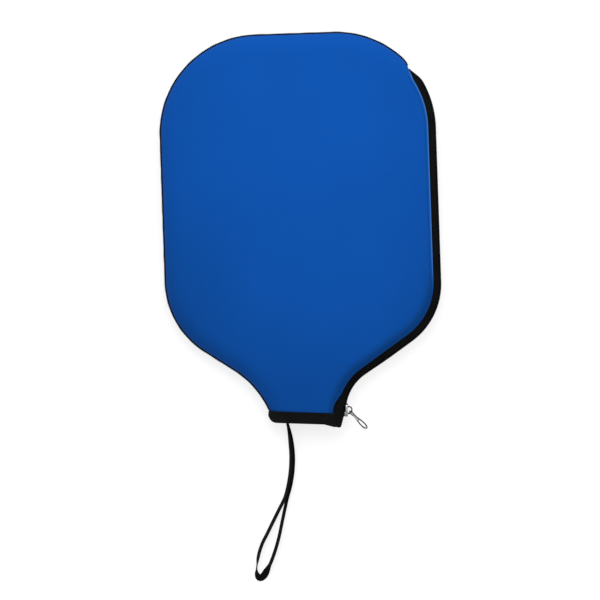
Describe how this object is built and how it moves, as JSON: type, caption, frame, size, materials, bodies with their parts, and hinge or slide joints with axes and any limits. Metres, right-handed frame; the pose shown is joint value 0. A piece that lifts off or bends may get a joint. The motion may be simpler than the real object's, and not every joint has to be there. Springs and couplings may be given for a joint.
{
  "type": "paddle case",
  "caption": "Padded fabric cover for a pickleball paddle, with a zip down one side, a front that folds open, a bound neck for the handle and a ribbon wrist strap.",
  "frame": {"origin": "on the back panel's outer face, halfway across the head and 152 mm below the head's top edge; the case lies flat on this face", "axes": "+Y towards the head's end, away from the neck; +Z out of the front panel; +X towards the side with the zip"},
  "size_m": [0.2115, 0.4174, 0.022],
  "materials": {
    "blue_neoprene": "royal blue jersey over 3 mm foam, black lining",
    "black_zip_tape": "woven polyester tape",
    "black_nylon_coil": "nylon coil",
    "black_binding": "ribbed woven binding",
    "black_thread": "sewing thread",
    "blue_thread": "sewing thread",
    "black_ribbon": "narrow woven ribbon",
    "plated_zinc": "gunmetal plating",
    "stop_metal": "dull pressed metal"
  },
  "bodies": {
    "case": {"back_panel": "blue_neoprene", "front_panel": "blue_neoprene", "edge_seam_thread": "black_thread", "zip_tape_back": "black_zip_tape", "zip_coil_back": "black_nylon_coil", "zip_bottom_stop": "stop_metal", "zip_top_stop_back": "stop_metal", "neck_binding": "black_binding", "binding_stitch": "black_thread", "tape_stitch_back": "blue_thread", "wrist_strap": "black_ribbon", "strap_bartack": "black_thread"},
    "flap": {"front_flap": "blue_neoprene", "zip_tape_front": "black_zip_tape", "zip_coil_front": "black_nylon_coil", "zip_top_stop_front": "stop_metal", "neck_binding_flap": "black_binding", "binding_stitch_flap": "black_thread", "tape_stitch_front": "blue_thread"},
    "slider": {"slider_body": "plated_zinc", "slider_bridge": "plated_zinc"},
    "pull": {"pull_tab": "plated_zinc"}
  },
  "joints": [
    {"name": "front_flap_open", "type": "hinge", "parent": "case", "child": "flap", "pos_m": [-0.01, -0.1473, 0.0222], "axis": [-0.3362, -0.9418, 0], "range_deg": [0, 70]},
    {"name": "slider_travel", "type": "hinge", "parent": "case", "child": "slider", "pos_m": [0.0642, -0.14028, 0.011], "axis": [0, 0, -1], "range_deg": [0, 44], "deforming": ["zip_coil_back", "zip_coil_front"]},
    {"name": "pull_tab_swing", "type": "hinge", "parent": "slider", "child": "pull", "pos_m": [0.03196, -0.13831, 0.011], "axis": [0, 0, 1], "range_deg": [-24, 108]}
  ]
}
